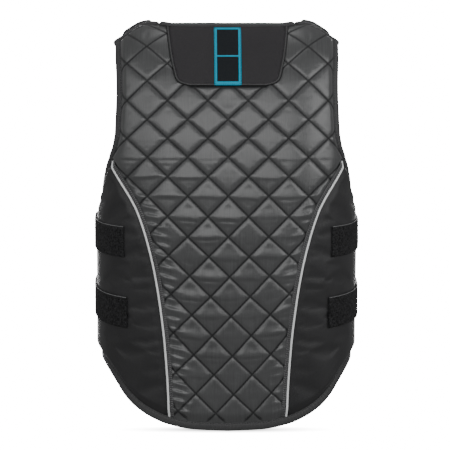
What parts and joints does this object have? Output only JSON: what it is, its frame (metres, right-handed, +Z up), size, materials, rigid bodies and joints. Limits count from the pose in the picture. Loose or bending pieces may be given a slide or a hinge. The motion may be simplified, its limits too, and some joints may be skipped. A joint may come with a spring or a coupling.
{
  "type": "equestrian body protector",
  "caption": "Padded riding vest in its worn form: quilted back, plain sides with piped seams, bound edges, neck yoke, front closure and waist straps.",
  "frame": {"origin": "between the places where the inner shoulders rest on the wearer, on the middle plane", "axes": "+Z up, the wearer's back faces -Y, +X to the wearer's right side"},
  "size_m": [0.3616, 0.2533, 0.5616],
  "materials": {
    "quilted_shell": "satin weave with quilted diamonds",
    "plain_shell": "matte woven",
    "yoke_cloth": "matte brushed",
    "binding_tape": "ribbed tape",
    "piping_cord": "reflective",
    "label_weave": "woven",
    "strap_web": "looped pile",
    "zip_tape": "matte"
  },
  "bodies": {
    "root": {"back_panel_quilted": "quilted_shell", "back_wing_right": "plain_shell", "back_wing_left": "plain_shell", "piping_right": "piping_cord", "piping_left": "piping_cord", "neck_yoke": "yoke_cloth", "yoke_label": "label_weave", "front_panel_right": "plain_shell", "front_panel_left": "plain_shell", "front_zip": "zip_tape", "shoulder_tab_right": "strap_web", "shoulder_tab_left": "strap_web", "strap_upper_right": "strap_web", "strap_upper_left": "strap_web", "strap_lower_right": "strap_web", "strap_lower_left": "strap_web", "back_armhole_binding_right": "binding_tape", "back_armhole_binding_left": "binding_tape", "back_side_binding_right": "binding_tape", "back_side_binding_left": "binding_tape", "back_shoulder_binding_right": "binding_tape", "back_shoulder_binding_left": "binding_tape", "back_hem_binding": "binding_tape", "back_neck_binding": "binding_tape", "front_neck_binding_right": "binding_tape", "front_neck_binding_left": "binding_tape", "front_edge_binding_right": "binding_tape", "front_edge_binding_left": "binding_tape"}
  },
  "joints": []
}
